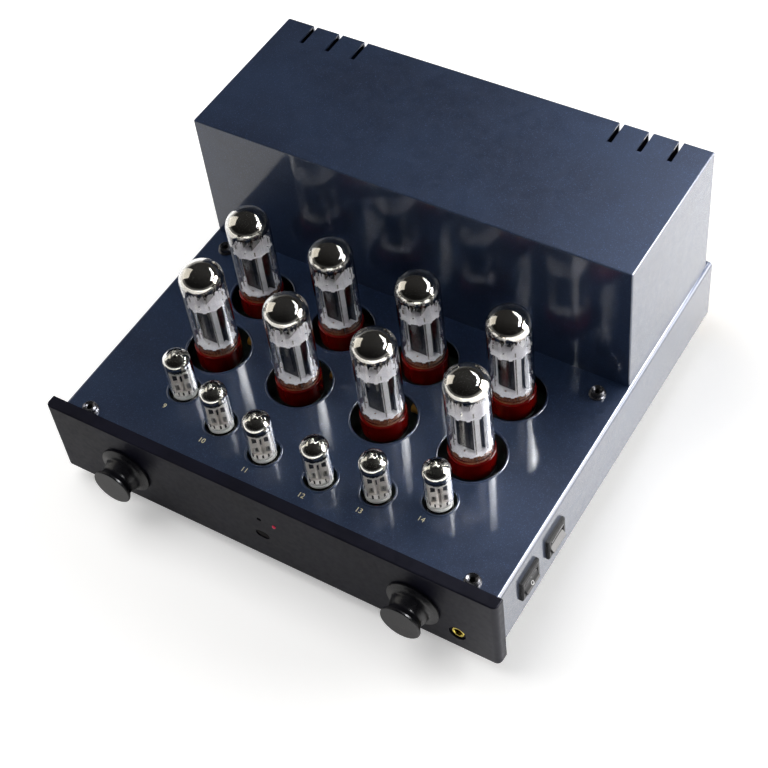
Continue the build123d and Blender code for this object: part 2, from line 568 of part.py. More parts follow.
# ---------------------------------------------------------------- circuit boards
board_t = 1.6
tube_board_z, driver_z, power_board_z = 53.4, 64.0, 31.0
tube_posts = [(x, y) for x in (-141.0, -74.6, 0.0, 74.6, 141.0) for y in (-92.0, 15.0)]
driver_posts = [(s * x, y) for s in (-1, 1)
                for x, y in ((90.0, -106.0), (44.0, -106.0), (108.0, -157.0), (46.0, -157.0))]
power_posts = [(x, y) for x in (-119.0, 0.0, 119.0) for y in (44.0, 140.0)]
with BuildPart() as tube_board:
    with Locations((0, -38.5, tube_board_z)):
        Box(290, 116, board_t, align=(Align.CENTER, Align.CENTER, Align.MIN))
    with Locations(*[(x, y, tube_board_z) for x, y in power_spots]):
        Cylinder(5.5, 8, mode=Mode.SUBTRACT)
    with Locations(*[(x, y, tube_board_z) for x, y in tube_posts]):
        Cylinder(1.8, 8, mode=Mode.SUBTRACT)
finish(tube_board.part, "tube_board")

with BuildPart() as driver_board:
    with Locations((0, -131.5, driver_z)):
        Box(250, 61, board_t, align=(Align.CENTER, Align.CENTER, Align.MIN))
    with Locations(*[(x, y, driver_z) for x, y in driver_posts]):
        Cylinder(1.8, 8, mode=Mode.SUBTRACT)
finish(driver_board.part, "driver_board")

with BuildPart() as power_board:
    with Locations((0, 92, power_board_z)):
        Box(250, 108, board_t, align=(Align.CENTER, Align.CENTER, Align.MIN))
    with Locations(*[(x, y, power_board_z) for x, y in power_posts]):
        Cylinder(1.8, 8, mode=Mode.SUBTRACT)
finish(power_board.part, "power_board")

with BuildPart() as board_standoffs:
    for posts, z0, z1 in ((tube_posts, tube_board_z + board_t, under_top),
                          (driver_posts, driver_z + board_t, under_top),
                          (power_posts, case_z0, power_board_z)):
        with Locations(*[(x, y, z0) for x, y in posts]):
            Cylinder(3.0, z1 - z0, align=(Align.CENTER, Align.CENTER, Align.MIN))
finish(board_standoffs.part, "board_standoffs")

can_spots = [(x, 92.0) for x in (-100.0, -60.0, -20.0, 20.0, 60.0, 100.0)]
with BuildPart() as filter_capacitors:
    with BuildSketch(Plane.XY.offset(power_board_z + board_t)):
        with Locations(*can_spots):
            Circle(16.0)
    extrude(amount=40.0)
    fillet(edges().group_by(Axis.Z)[-1], 1.5)
    with Locations(*[(x, y, power_board_z + board_t + 4.0) for x, y in can_spots]):
        Torus(16.4, 0.9, mode=Mode.SUBTRACT)
finish(filter_capacitors.part, "filter_capacitors")

with BuildPart() as coupling_capacitors:
    with Locations(*[(x, -38.5, tube_board_z + board_t + 4.6) for x in (-95, -55, -18, 18, 55, 95)]):
        Cylinder(4.5, 24, rotation=(0, 90, 0))
    fillet(edges(), 0.8)
finish(coupling_capacitors.part, "coupling_capacitors")

# ---------------------------------------------------------------- transformers under the cover
toroid_y, toroid_z0, toroid_h = 104.0, case_top + 2.0, 62.0
with BuildPart() as mains_coil:
    with BuildSketch(Plane.XZ.offset(-toroid_y)):
        with Locations((36.0, toroid_z0 + toroid_h / 2)):
            RectangleRounded(36.0, toroid_h, 12.0)
    revolve(axis=Axis((0, toroid_y, 0), (0, 0, 1)))
finish(mains_coil.part, "mains_coil")

with BuildPart() as mains_washers:
    with Locations((0, toroid_y, case_top)):
        Cylinder(48.0, 2.0, align=(Align.CENTER, Align.CENTER, Align.MIN))
    with Locations((0, toroid_y, toroid_z0 + toroid_h)):
        Cylinder(40.0, 2.0, align=(Align.CENTER, Align.CENTER, Align.MIN))
        Cylinder(24.0, 4.0, align=(Align.CENTER, Align.CENTER, Align.MIN))
    with Locations((0, toroid_y, toroid_z0 + toroid_h / 2)):
        Cylinder(4.2, 100, mode=Mode.SUBTRACT)
finish(mains_washers.part, "mains_washers")

with BuildPart() as mains_bolt:
    with Locations((0, toroid_y, case_top)):
        Cylinder(4.0, toroid_h + 10.0, align=(Align.CENTER, Align.CENTER, Align.MIN))
    with BuildSketch(Plane.XY.offset(toroid_z0 + toroid_h + 4.0)):
        with Locations((0, toroid_y)):
            RegularPolygon(7.5, 6)
    extrude(amount=6.0)
finish(mains_bolt.part, "mains_bolt")

core_w, core_t, core_h = 96.0, 42.0, 82.0
core_z0 = case_top + 1.5
with BuildPart() as output_cores:
    for x in (-118.0, 118.0):
        with BuildSketch(Plane.XZ.offset(-(toroid_y + core_t / 2))):
            with Locations((x, core_z0 + core_h / 2)):
                Rectangle(core_w, core_h)
            with Locations((x - 24.0, core_z0 + core_h / 2), (x + 24.0, core_z0 + core_h / 2)):
                Rectangle(16.0, core_h - 32.0, mode=Mode.SUBTRACT)
        extrude(amount=core_t)
finish(output_cores.part, "output_cores")

with BuildPart() as output_coils:
    for x in (-118.0, 118.0):
        with Locations((x, toroid_y, core_z0 + core_h / 2)):
            Box(63.6, core_t + 30.0, core_h - 32.6)
            fillet(edges().filter_by(Axis.Z).group_by(Axis.X)[0 if x < 0 else -1], 6.0)
            Box(32.2, core_t + 0.4, core_h, mode=Mode.SUBTRACT)
finish(output_coils.part, "output_coils")

with BuildPart() as output_brackets:
    for x in (-118.0, 118.0):
        for s in (-1, 1):
            with Locations((x, toroid_y + s * (core_t / 2 + 0.75), core_z0 + 6.0)):
                Box(core_w, 1.5, 12.0)
            with Locations((x, toroid_y + s * (core_t / 2 + 8.0), core_z0 - 0.75)):
                Box(core_w, 16.0, 1.5)
finish(output_brackets.part, "output_brackets")

# ---------------------------------------------------------------- volume and input controls
shaft_r, bush_r = 3.0, 4.6
wall_in = case_front + sheet
for x, name in ((-knob_x, "volume_pot"), (knob_x, "input_switch")):
    with BuildPart() as control:
        with Locations((x, wall_in, knob_z)):
            if name == "volume_pot":
                with Locations((0, 10.0, 0)):
                    Box(26, 20, 26)
            else:
                with Locations((0, 11.0, 0)):
                    Cylinder(16.0, 22.0, rotation=(90, 0, 0))
            with Locations((0, -5.0, 0)):
                Cylinder(bush_r, 10.0, rotation=(90, 0, 0))
            with Locations((0, -1.0, 0)):
                Cylinder(shaft_r + 0.05, 18.0, rotation=(90, 0, 0), mode=Mode.SUBTRACT)
    finish(control.part, name)

shaft_in, shaft_out = wall_in + 7.6, -194.0
for x, name in ((-knob_x, "volume_shaft"), (knob_x, "input_shaft")):
    with BuildPart() as shaft:
        with Locations((x, (shaft_in + shaft_out) / 2, knob_z)):
            Cylinder(shaft_r, shaft_in - shaft_out, rotation=(90, 0, 0))
        # flat that the knob is keyed to
        with Locations((x, shaft_out + 5.0, knob_z + shaft_r)):
            Box(8, 10.0, 1.6, mode=Mode.SUBTRACT)
    finish(shaft.part, name)

knob_face, knob_rim_r, knob_waist_r, knob_foot_r = -201.0, 16.1, 13.4, 21.2
knob_back = panel_front - 0.4
for x, name in ((-knob_x, "volume_knob"), (knob_x, "input_knob")):
    with BuildPart() as knob:
        with BuildSketch(Plane.XY.offset(knob_z)):
            with BuildLine():
                Polyline((x, knob_face), (x + knob_rim_r - 0.6, knob_face),
                         (x + knob_rim_r, knob_face + 0.6), (x + knob_rim_r, knob_face + 1.8))
                Spline((x + knob_rim_r, knob_face + 1.8), (x + knob_waist_r, knob_face + 6.4),
                       (x + knob_waist_r + 1.4, knob_face + 12.0), (x + knob_foot_r, knob_back - 1.4),
                       tangents=[(-0.7, 1), (1, 0.25)])
                Polyline((x + knob_foot_r, knob_back - 1.4), (x + knob_foot_r, knob_back),
                         (x + 9.0, knob_back), (x + 9.0, knob_back - 6.0),
                         (x, knob_back - 6.0), (x, knob_face))
            make_face()
        revolve(axis=Axis((x, 0, knob_z), (0, 1, 0)))
        with Locations((x, (shaft_out + knob_back) / 2, knob_z)):
            Cylinder(shaft_r, knob_back - shaft_out, rotation=(90, 0, 0), mode=Mode.SUBTRACT)
        with Locations((x, shaft_out + 3.05, knob_z + shaft_r - 0.4)):
            Box(5.0, 6.1, 0.8)
    finish(knob.part, name)

# ---------------------------------------------------------------- rocker switches in the right side
bezel_y, bezel_z, bezel_t = 25.0, 21.0, 3.0
pocket_y, pocket_z = 19.0, 15.8
side_x = case_w / 2
pivot_x = side_x - 3.4
with BuildPart() as switch_bezels:
    for y in rocker_ys:
        with Locations((side_x + bezel_t / 2, y, rocker_z)):
            Box(bezel_t, bezel_y, bezel_z)
        with Locations((side_x - 8.0, y, rocker_z)):
            Box(16.0, rocker_body_y, rocker_body_z)
    chamfer(faces().group_by(Axis.X)[-1].edges(), 0.9)
    with Locations(*[(side_x, y, rocker_z) for y in rocker_ys]):
        Box(22.0, pocket_y, pocket_z, mode=Mode.SUBTRACT)
    with Locations(*[(pivot_x, y, rocker_z) for y in rocker_ys]):
        Cylinder(1.56, rocker_body_y - 1.2, rotation=(90, 0, 0), mode=Mode.SUBTRACT)
finish(switch_bezels.part, "switch_bezels")

rest_tilt = -8.0
for y, name in zip(rocker_ys, ("power_rocker", "mode_rocker")):
    with BuildPart() as rocker:
        with BuildSketch(Plane.XZ.offset(-(y + pocket_y / 2 - 0.35))):
            with BuildLine():
                Polyline((-3.0, 0), (-1.0, -6.0), (8.2, -6.3))
                if name == "power_rocker":      # dished in one sweep
                    ThreePointArc((8.2, -6.3), (5.9, 0), (8.2, 6.3))
                else:                           # two flat pads that meet in a rounded crease
                    Line((8.2, -6.3), (5.3, -1.0))
                    ThreePointArc((5.3, -1.0), (5.05, 0), (5.3, 1.0))
                    Line((5.3, 1.0), (8.2, 6.3))
                Polyline((8.2, 6.3), (-1.0, 6.0), (-3.0, 0))
            make_face()
        extrude(amount=pocket_y - 0.7)
        with Locations((0, y, 0)):
            Cylinder(1.5, rocker_body_y - 1.6, rotation=(90, 0, 0))
        fillet(edges().filter_by(Axis.Y).group_by(Axis.X)[-1], 0.5)
    seated = Location((pivot_x, 0, rocker_z)) * Rot(Y=rest_tilt) * rocker.part
    finish(seated, name)
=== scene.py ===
import math
import random

import bpy
from mathutils import Matrix, Vector


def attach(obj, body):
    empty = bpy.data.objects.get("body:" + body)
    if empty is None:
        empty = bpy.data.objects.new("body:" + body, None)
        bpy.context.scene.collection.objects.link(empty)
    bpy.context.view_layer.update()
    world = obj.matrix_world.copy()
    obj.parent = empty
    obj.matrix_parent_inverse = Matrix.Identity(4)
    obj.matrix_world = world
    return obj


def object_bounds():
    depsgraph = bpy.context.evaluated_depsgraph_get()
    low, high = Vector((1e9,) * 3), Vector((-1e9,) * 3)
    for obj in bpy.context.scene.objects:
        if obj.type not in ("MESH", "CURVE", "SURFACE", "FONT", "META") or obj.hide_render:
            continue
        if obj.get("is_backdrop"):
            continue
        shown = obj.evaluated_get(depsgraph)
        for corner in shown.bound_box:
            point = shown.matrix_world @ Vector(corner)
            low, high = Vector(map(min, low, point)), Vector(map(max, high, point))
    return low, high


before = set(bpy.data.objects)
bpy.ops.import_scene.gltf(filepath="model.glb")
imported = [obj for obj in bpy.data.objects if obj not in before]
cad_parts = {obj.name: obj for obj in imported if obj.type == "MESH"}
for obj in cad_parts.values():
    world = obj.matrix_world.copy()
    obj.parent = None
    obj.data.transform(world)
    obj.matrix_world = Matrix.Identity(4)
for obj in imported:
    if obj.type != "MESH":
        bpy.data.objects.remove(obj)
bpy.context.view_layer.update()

# ---- Case and transformer cover
# Both are folded from 1.5 mm steel sheet, sprayed midnight blue with fine metal flake in it, and lacquered.
# The lacquer is polished flat enough to mirror the valves, with a trace of orange peel left in it.

# Socket numbers of a colour Mix node, which shares the names of its sockets with its other kinds.
MIX_FACTOR, MIX_FIRST, MIX_SECOND, MIX_RESULT = 0, 6, 7, 2


def finish(name, deep, pale, grain, gloss, dents, metal=0.0):
    """A finish whose colour drifts from deep to pale over grain millimetres.

    A finer grain moves its roughness within gloss and raises a relief dents millimetres deep.
    """
    material = bpy.data.materials.new(name)
    material.use_nodes = True
    nodes, wires = material.node_tree.nodes, material.node_tree.links
    shader = nodes["Principled BSDF"]
    shader.inputs["Metallic"].default_value = metal
    where = nodes.new("ShaderNodeTexCoord")
    drift = nodes.new("ShaderNodeTexNoise")
    drift.inputs["Scale"].default_value = 1000 / grain
    drift.inputs["Detail"].default_value = 5
    wires.new(where.outputs["Object"], drift.inputs["Vector"])
    colour = nodes.new("ShaderNodeValToRGB")
    colour.color_ramp.elements[0].position = 0.3
    colour.color_ramp.elements[0].color = (*deep, 1)
    colour.color_ramp.elements[1].position = 0.7
    colour.color_ramp.elements[1].color = (*pale, 1)
    wires.new(drift.outputs["Fac"], colour.inputs["Fac"])
    wires.new(colour.outputs["Color"], shader.inputs["Base Color"])
    fine = nodes.new("ShaderNodeTexNoise")
    fine.inputs["Scale"].default_value = 9000 / grain
    fine.inputs["Detail"].default_value = 3
    wires.new(where.outputs["Object"], fine.inputs["Vector"])
    polish = nodes.new("ShaderNodeMapRange")
    polish.inputs["From Min"].default_value = 0.3
    polish.inputs["From Max"].default_value = 0.7
    polish.inputs["To Min"].default_value = gloss[0]
    polish.inputs["To Max"].default_value = gloss[1]
    wires.new(fine.outputs["Fac"], polish.inputs["Value"])
    wires.new(polish.outputs["Result"], shader.inputs["Roughness"])
    relief = nodes.new("ShaderNodeBump")
    relief.inputs["Strength"].default_value = 0.6
    relief.inputs["Distance"].default_value = dents / 1000
    wires.new(fine.outputs["Fac"], relief.inputs["Height"])
    wires.new(relief.outputs["Normal"], shader.inputs["Normal"])
    return material


def part_of(material, kind):
    """The first node of that kind in a material."""
    return next(n for n in material.node_tree.nodes if n.type == kind)


def dress(material, *names):
    """Gives CAD pieces their finish."""
    for name in names:
        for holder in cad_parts[name].material_slots:
            holder.material = material


midnight = finish("midnight_paint", (0.014, 0.026, 0.062), (0.021, 0.040, 0.092), 60, (0.36, 0.44), 0.0015,
                  metal=0.4)
nodes, wires = midnight.node_tree.nodes, midnight.node_tree.links
lacquer = part_of(midnight, "BSDF_PRINCIPLED")
lacquer.inputs["Coat Weight"].default_value = 1.0
lacquer.inputs["Coat Roughness"].default_value = 0.012
lacquer.inputs["Coat IOR"].default_value = 1.75
where = part_of(midnight, "TEX_COORD")
flake = nodes.new("ShaderNodeTexVoronoi")
flake.inputs["Scale"].default_value = 2600
wires.new(where.outputs["Object"], flake.inputs["Vector"])
sparkle = nodes.new("ShaderNodeMapRange")
sparkle.inputs["From Min"].default_value = 0.78
sparkle.inputs["From Max"].default_value = 1.0
wires.new(flake.outputs["Color"], sparkle.inputs["Value"])
flecked = nodes.new("ShaderNodeMix")
flecked.data_type = "RGBA"
flecked.inputs[MIX_SECOND].default_value = (0.07, 0.12, 0.28, 1)
wires.new(sparkle.outputs["Result"], flecked.inputs[MIX_FACTOR])
wires.new(part_of(midnight, "VALTORGB").outputs["Color"], flecked.inputs[MIX_FIRST])
wires.new(flecked.outputs[MIX_RESULT], lacquer.inputs["Base Color"])
tilt = nodes.new("ShaderNodeBump")
tilt.inputs["Strength"].default_value = 0.25
tilt.inputs["Distance"].default_value = 0.0001
wires.new(flake.outputs["Color"], tilt.inputs["Height"])
wires.new(tilt.outputs["Normal"], lacquer.inputs["Normal"])
peel = nodes.new("ShaderNodeTexNoise")
peel.inputs["Scale"].default_value = 1000
wires.new(where.outputs["Object"], peel.inputs["Vector"])
ripple = nodes.new("ShaderNodeBump")
ripple.inputs["Strength"].default_value = 1.0
ripple.inputs["Distance"].default_value = 0.000021
wires.new(peel.outputs["Fac"], ripple.inputs["Height"])
wires.new(ripple.outputs["Normal"], lacquer.inputs["Coat Normal"])
dress(midnight, "chassis_shell", "transformer_cover")


def make_piece(name, points, faces, material, body, smooth=True):
    """A mesh from points in millimetres, in its finish, riding on a body."""
    mesh = bpy.data.meshes.new(name)
    mesh.from_pydata([(x / 1000, y / 1000, z / 1000) for x, y, z in points], [], faces)
    mesh.materials.append(material)
    mesh.polygons.foreach_set("use_smooth", [smooth] * len(mesh.polygons))
    mesh.update()
    piece = bpy.data.objects.new(name, mesh)
    bpy.context.collection.objects.link(piece)
    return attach(piece, body)


def turn_outline(points, faces, outline, x, y, steps, fray=None):
    """Adds an outline of (radius, height) turned about the upright line at x, y, its first ring frayed."""
    first = len(points)
    for ring, (radius, height) in enumerate(outline):
        for step in range(steps):
            a = 2 * math.pi * step / steps
            drop = fray[step] if fray and ring == 0 else 0.0
            points.append((x + radius * math.cos(a), y + radius * math.sin(a), height - drop))
    for ring in range(len(outline) - 1):
        for step in range(steps):
            a, b = first + ring * steps + step, first + ring * steps + (step + 1) % steps
            faces.append((a, b, b + steps, a + steps))


# Each valve hole has a drawn lip, sprayed with the rest, that stands just proud of the top.
power_spots = [(x, y) for y in (-69.0, -8.0) for x in (-111.9, -37.3, 37.3, 111.9)]
signal_spots = [(s * x, y) for x, y in ((111.5, -115.5), (68.5, -129.3), (24.7, -137.3)) for s in (-1, 1)]
half_lip, lip_rise, lip_foot = 0.9, 0.42, 78.15
points, faces = [], []
for spots, hole in ((power_spots, 25.0), (signal_spots, 12.5)):
    lip = [(hole - 0.02, 77.0)]
    for k in range(9):
        a = math.pi * k / 8
        lip.append((hole + half_lip - half_lip * math.cos(a), lip_foot + lip_rise * math.sin(a)))
    for x, y in spots:
        turn_outline(points, faces, lip, x, y, 96)
make_piece("valve_hole_lips", points, faces, midnight, "amplifier")

# ---- Front panel
# A 10 mm aluminium plate, milled and bead blasted, then anodised black. The blasting leaves a fine matt
# grain that catches light along the rounded ends.
anodised = finish("black_anodising", (0.003, 0.003, 0.007), (0.006, 0.006, 0.014), 35, (0.34, 0.44), 0.004)
blasted = part_of(anodised, "BSDF_PRINCIPLED")
blasted.inputs["Specular IOR Level"].default_value = 0.18
blasted.inputs["Specular Tint"].default_value = (0.86, 0.87, 1.0, 1)
dress(anodised, "front_panel")

# ---- Bottom plate, rear panel, feet and their screws
# The steel plates are powder coated satin black, with the coat's fine pebble. The feet are moulded
# rubber, each held by one blackened pan-head screw, and small ones hold the rear panel.
powder = finish("powder_coat", (0.018, 0.018, 0.020), (0.030, 0.030, 0.033), 8, (0.45, 0.6), 0.03)
dress(powder, "bottom_plate", "rear_panel")
rubber = finish("foot_rubber", (0.012, 0.012, 0.012), (0.028, 0.027, 0.026), 12, (0.7, 0.9), 0.04)
dress(rubber, "feet")
black_oxide = finish("blackened_steel", (0.03, 0.03, 0.032), (0.07, 0.07, 0.075), 2, (0.3, 0.5), 0.01,
                     metal=1.0)
dress(black_oxide, "foot_screws", "panel_screws")

# ---- Cage sockets
# Four turned brass collars for the legs of the valve cage, plated black chrome and pressed into the
# case top.
black_chrome = finish("black_chrome", (0.06, 0.06, 0.065), (0.12, 0.12, 0.13), 3, (0.2, 0.32), 0.004,
                      metal=0.9)
dress(black_chrome, "cage_bushings")

# ---- Circuit boards and what stands on them
# Glass-fibre boards in black solder mask on steel pillars carry the valve sockets, the smoothing
# capacitors in their shrunk sleeves and the moulded coupling capacitors.
board = finish("board_lacquer", (0.004, 0.007, 0.006), (0.009, 0.015, 0.012), 4, (0.25, 0.4), 0.01)
dress(board, "tube_board", "driver_board", "power_board")
pillar = finish("pillar_steel", (0.42, 0.42, 0.43), (0.6, 0.6, 0.61), 3, (0.25, 0.4), 0.004, metal=1.0)
dress(pillar, "board_standoffs")
sleeve = finish("capacitor_sleeve", (0.010, 0.014, 0.035), (0.02, 0.025, 0.06), 20, (0.25, 0.38), 0.01)
dress(sleeve, "filter_capacitors")
moulded = finish("capacitor_casing", (0.45, 0.22, 0.03), (0.6, 0.33, 0.06), 9, (0.3, 0.45), 0.01)
dress(moulded, "coupling_capacitors")

# ---- Transformers
# A mains ring wound in varnished wire between two washers on a bolt, and two output transformers: stacked
# silicon-steel cores, paper-wrapped coils and pressed brackets.
varnish = finish("coil_varnish", (0.16, 0.05, 0.012), (0.32, 0.12, 0.03), 3, (0.25, 0.4), 0.05)
turns = varnish.node_tree.nodes.new("ShaderNodeTexWave")
turns.inputs["Scale"].default_value = 260
turns.inputs["Distortion"].default_value = 1.5
turns.bands_direction = "DIAGONAL"
varnish.node_tree.links.new(part_of(varnish, "TEX_COORD").outputs["Object"], turns.inputs["Vector"])
varnish.node_tree.links.new(turns.outputs["Fac"], part_of(varnish, "BUMP").inputs["Height"])
dress(varnish, "mains_coil", "output_coils")
dress(pillar, "mains_washers", "mains_bolt", "output_brackets")
core_steel = finish("core_steel", (0.05, 0.048, 0.045), (0.13, 0.125, 0.12), 6, (0.4, 0.6), 0.02, metal=0.8)
layers = core_steel.node_tree.nodes.new("ShaderNodeTexWave")
layers.inputs["Scale"].default_value = 900
layers.bands_direction = "Y"
core_steel.node_tree.links.new(part_of(core_steel, "TEX_COORD").outputs["Object"], layers.inputs["Vector"])
core_steel.node_tree.links.new(layers.outputs["Fac"], part_of(core_steel, "BUMP").inputs["Height"])
dress(core_steel, "output_cores")

# ---- Mains inlet
# A moulded nylon inlet with three nickel-plated blades, and a fuse drawer that pulls out of its side.
nylon = finish("black_nylon", (0.014, 0.014, 0.015), (0.026, 0.026, 0.028), 7, (0.38, 0.52), 0.012)
dress(nylon, "mains_inlet", "fuse_drawer")
nickel = finish("nickel_plate", (0.55, 0.53, 0.48), (0.68, 0.66, 0.61), 4, (0.12, 0.25), 0.003, metal=1.0)
dress(nickel, "inlet_pins")

# ---- Phono sockets
# Twelve turned shells, gold plated, each round a moulded white insulator with the centre contact in it.
gold = finish("gold_plate", (0.83, 0.56, 0.19), (0.95, 0.68, 0.28), 5, (0.1, 0.2), 0.002, metal=1.0)
dress(gold, "rca_shells")
insulator = finish("phono_insulator", (0.55, 0.55, 0.53), (0.7, 0.7, 0.68), 3, (0.3, 0.45), 0.006)
dress(insulator, "rca_insulators")

# ---- Speaker posts
# Gold-plated studs in black collars. The two outermost caps are black and the four between them red,
# in glossy acetal slightly scuffed by fingers.
dress(gold, "post_studs")
dress(nylon, "post_collars")
black_acetal = finish("black_acetal", (0.012, 0.012, 0.013), (0.024, 0.024, 0.026), 5, (0.2, 0.34), 0.006)
red_acetal = finish("red_acetal", (0.34, 0.006, 0.006), (0.48, 0.014, 0.012), 5, (0.2, 0.34), 0.006)
dress(black_acetal, "post_cap_1", "post_cap_6")
dress(red_acetal, "post_cap_2", "post_cap_3", "post_cap_4", "post_cap_5")

# ---- Power valves
# Eight octal pentodes, each a blown glass bulb cemented into a maroon phenolic base. Inside stands
# the electrode stack: two mica spacers, the grey anode box with its wings, and a getter hoop on top.
phenolic = finish("maroon_phenolic", (0.10, 0.0008, 0.0006), (0.15, 0.0014, 0.0010), 9, (0.12, 0.22), 0.004)
dress(phenolic, "power_tube_bases")
dress(nickel, "power_tube_pins", "signal_tube_pins")
bakelite = finish("socket_bakelite", (0.008, 0.008, 0.008), (0.018, 0.017, 0.016), 5, (0.35, 0.5), 0.01)
dress(bakelite, "octal_sockets", "noval_sockets")

glass = bpy.data.materials.new("bulb_glass")
glass.use_nodes = True
nodes, wires = glass.node_tree.nodes, glass.node_tree.links
blown = nodes["Principled BSDF"]
blown.inputs["Base Color"].default_value = (0.985, 0.99, 0.985, 1)
blown.inputs["Transmission Weight"].default_value = 1.0
blown.inputs["IOR"].default_value = 1.52
where = nodes.new("ShaderNodeTexCoord")
stretch = nodes.new("ShaderNodeMapping")
stretch.inputs["Scale"].default_value = (1, 1, 0.15)
wires.new(where.outputs["Object"], stretch.inputs["Vector"])
cords = nodes.new("ShaderNodeTexNoise")
cords.inputs["Scale"].default_value = 160
wires.new(stretch.outputs["Vector"], cords.inputs["Vector"])
draw_lines = nodes.new("ShaderNodeBump")
draw_lines.inputs["Strength"].default_value = 0.5
draw_lines.inputs["Distance"].default_value = 0.00006
wires.new(cords.outputs["Fac"], draw_lines.inputs["Height"])
wires.new(draw_lines.outputs["Normal"], blown.inputs["Normal"])
film = nodes.new("ShaderNodeMapRange")
film.inputs["To Max"].default_value = 0.03
wires.new(cords.outputs["Fac"], film.inputs["Value"])
wires.new(film.outputs["Result"], blown.inputs["Roughness"])
passing = nodes.new("ShaderNodeBsdfTransparent")
passing.inputs["Color"].default_value = (0.9, 0.91, 0.9, 1)
ray = nodes.new("ShaderNodeLightPath")
either = nodes.new("ShaderNodeMixShader")
wires.new(ray.outputs["Is Shadow Ray"], either.inputs["Fac"])
wires.new(blown.outputs["BSDF"], either.inputs[1])
wires.new(passing.outputs["BSDF"], either.inputs[2])
wires.new(either.outputs["Shader"], nodes["Material Output"].inputs["Surface"])
dress(glass, "power_tube_glass", "signal_tube_glass")

mica = finish("mica_sheet", (0.72, 0.69, 0.76), (0.92, 0.90, 0.95), 6, (0.25, 0.5), 0.02)
dress(mica, "power_tube_micas")
anode = finish("carbonised_anode", (0.035, 0.034, 0.037), (0.075, 0.073, 0.078), 5, (0.3, 0.42), 0.01,
               metal=0.7)
dress(anode, "power_tube_plates")
wire_steel = finish("electrode_wire", (0.45, 0.43, 0.41), (0.62, 0.6, 0.57), 3, (0.2, 0.35), 0.004,
                    metal=1.0)
dress(wire_steel, "power_tube_getters", "signal_tube_getters")

chance = random.Random(41)

# The getter hoop fires a mirror of barium on the inside of the dome. It ends in a ragged brown edge.
mirror = finish("getter_mirror", (0.52, 0.49, 0.44), (0.68, 0.65, 0.60), 14, (0.015, 0.05), 0.002,
                metal=1.0)
nodes, wires = mirror.node_tree.nodes, mirror.node_tree.links
height = nodes.new("ShaderNodeSeparateXYZ")
wires.new(part_of(mirror, "TEX_COORD").outputs["Object"], height.inputs["Vector"])
browning = nodes.new("ShaderNodeMapRange")
browning.inputs["From Min"].default_value = 0.1549
browning.inputs["From Max"].default_value = 0.1572
wires.new(height.outputs["Z"], browning.inputs["Value"])
burnt = nodes.new("ShaderNodeMix")
burnt.data_type = "RGBA"
burnt.inputs[MIX_FIRST].default_value = (0.10, 0.055, 0.03, 1)
wires.new(browning.outputs["Result"], burnt.inputs[MIX_FACTOR])
wires.new(part_of(mirror, "VALTORGB").outputs["Color"], burnt.inputs[MIX_SECOND])
wires.new(burnt.outputs[MIX_RESULT], part_of(mirror, "BSDF_PRINCIPLED").inputs["Base Color"])


def domed(outline, radius, spring, rise, squareness, rings):
    """Adds a dome to an outline: a quarter superellipse from the height of its spring up to a point."""
    power = 2 / squareness
    for k in range(1, rings + 1):
        a = math.pi / 2 * k / rings
        outline.append((radius * max(math.cos(a), 0.0) ** power, spring + rise * math.sin(a) ** power))
    return outline


big_dome = domed([(15.86, 155.3), (15.86, 156.4)], 15.85, 156.5, 11.3, 2.12, 14)
points, faces = [], []
for x, y in power_spots:
    fray = []
    for _ in range(96):
        torn = chance.uniform(0.0, 0.7)
        fray.append(torn + (chance.uniform(0.4, 1.6) if chance.random() < 0.2 else 0))
    turn_outline(points, faces, big_dome, x, y, 96, fray)
make_piece("power_valve_flash", points, faces, mirror, "amplifier")

# Below the mirror the flash thins to dark brown tongues that run down the glass.
smoke = finish("flash_tongues", (0.022, 0.012, 0.008), (0.06, 0.04, 0.03), 3, (0.15, 0.3), 0.004, metal=0.8)
tongues, tongue_r, tongue_top = 34, 15.82, 155.6
points, faces = [], []
for x, y in power_spots:
    for tongue in range(tongues):
        a = 2 * math.pi * (tongue + chance.uniform(-0.3, 0.3)) / tongues
        wide, long = chance.uniform(0.03, 0.075), chance.uniform(1.2, 5.5)
        tip = chance.uniform(-0.3, 0.3) * wide
        first = len(points)
        for da, dz in ((-wide, 0.2), (wide, 0.2), (0.4 * wide, 0.55 * long), (tip, long)):
            points.append((x + tongue_r * math.cos(a + da),
                           y + tongue_r * math.sin(a + da), tongue_top - dz))
        faces.append((first, first + 1, first + 2, first + 3))
make_piece("power_valve_flash_edge", points, faces, smoke, "amplifier", smooth=False)

# A thin brown film of the flash reaches further down the left half of the glass, and thins to nothing.
veil = finish("flash_veil", (0.05, 0.028, 0.016), (0.10, 0.06, 0.035), 5, (0.12, 0.25), 0.003, metal=0.6)
nodes, wires = veil.node_tree.nodes, veil.node_tree.links
height = nodes.new("ShaderNodeSeparateXYZ")
wires.new(part_of(veil, "TEX_COORD").outputs["Object"], height.inputs["Vector"])
fading = nodes.new("ShaderNodeMapRange")
fading.inputs["From Min"].default_value = 0.143
fading.inputs["From Max"].default_value = 0.1555
fading.inputs["To Max"].default_value = 1.1
wires.new(height.outputs["Z"], fading.inputs["Value"])
patchy = nodes.new("ShaderNodeMath")
patchy.operation = "MULTIPLY"
wires.new(fading.outputs["Result"], patchy.inputs[0])
wires.new(part_of(veil, "TEX_NOISE").outputs["Fac"], patchy.inputs[1])
wires.new(patchy.outputs[0], part_of(veil, "BSDF_PRINCIPLED").inputs["Alpha"])
film_r, steps = 15.84, 40
points, faces = [], []
for x, y in power_spots:
    first = len(points)
    for step in range(steps + 1):
        a = math.radians(100 + 170 * step / steps)
        points += [(x + film_r * math.cos(a), y + film_r * math.sin(a), z) for z in (143.0, 149.0, 155.4)]
    for step in range(steps):
        p = first + 3 * step
        faces += [(p, p + 3, p + 4, p + 1), (p + 1, p + 4, p + 5, p + 2)]
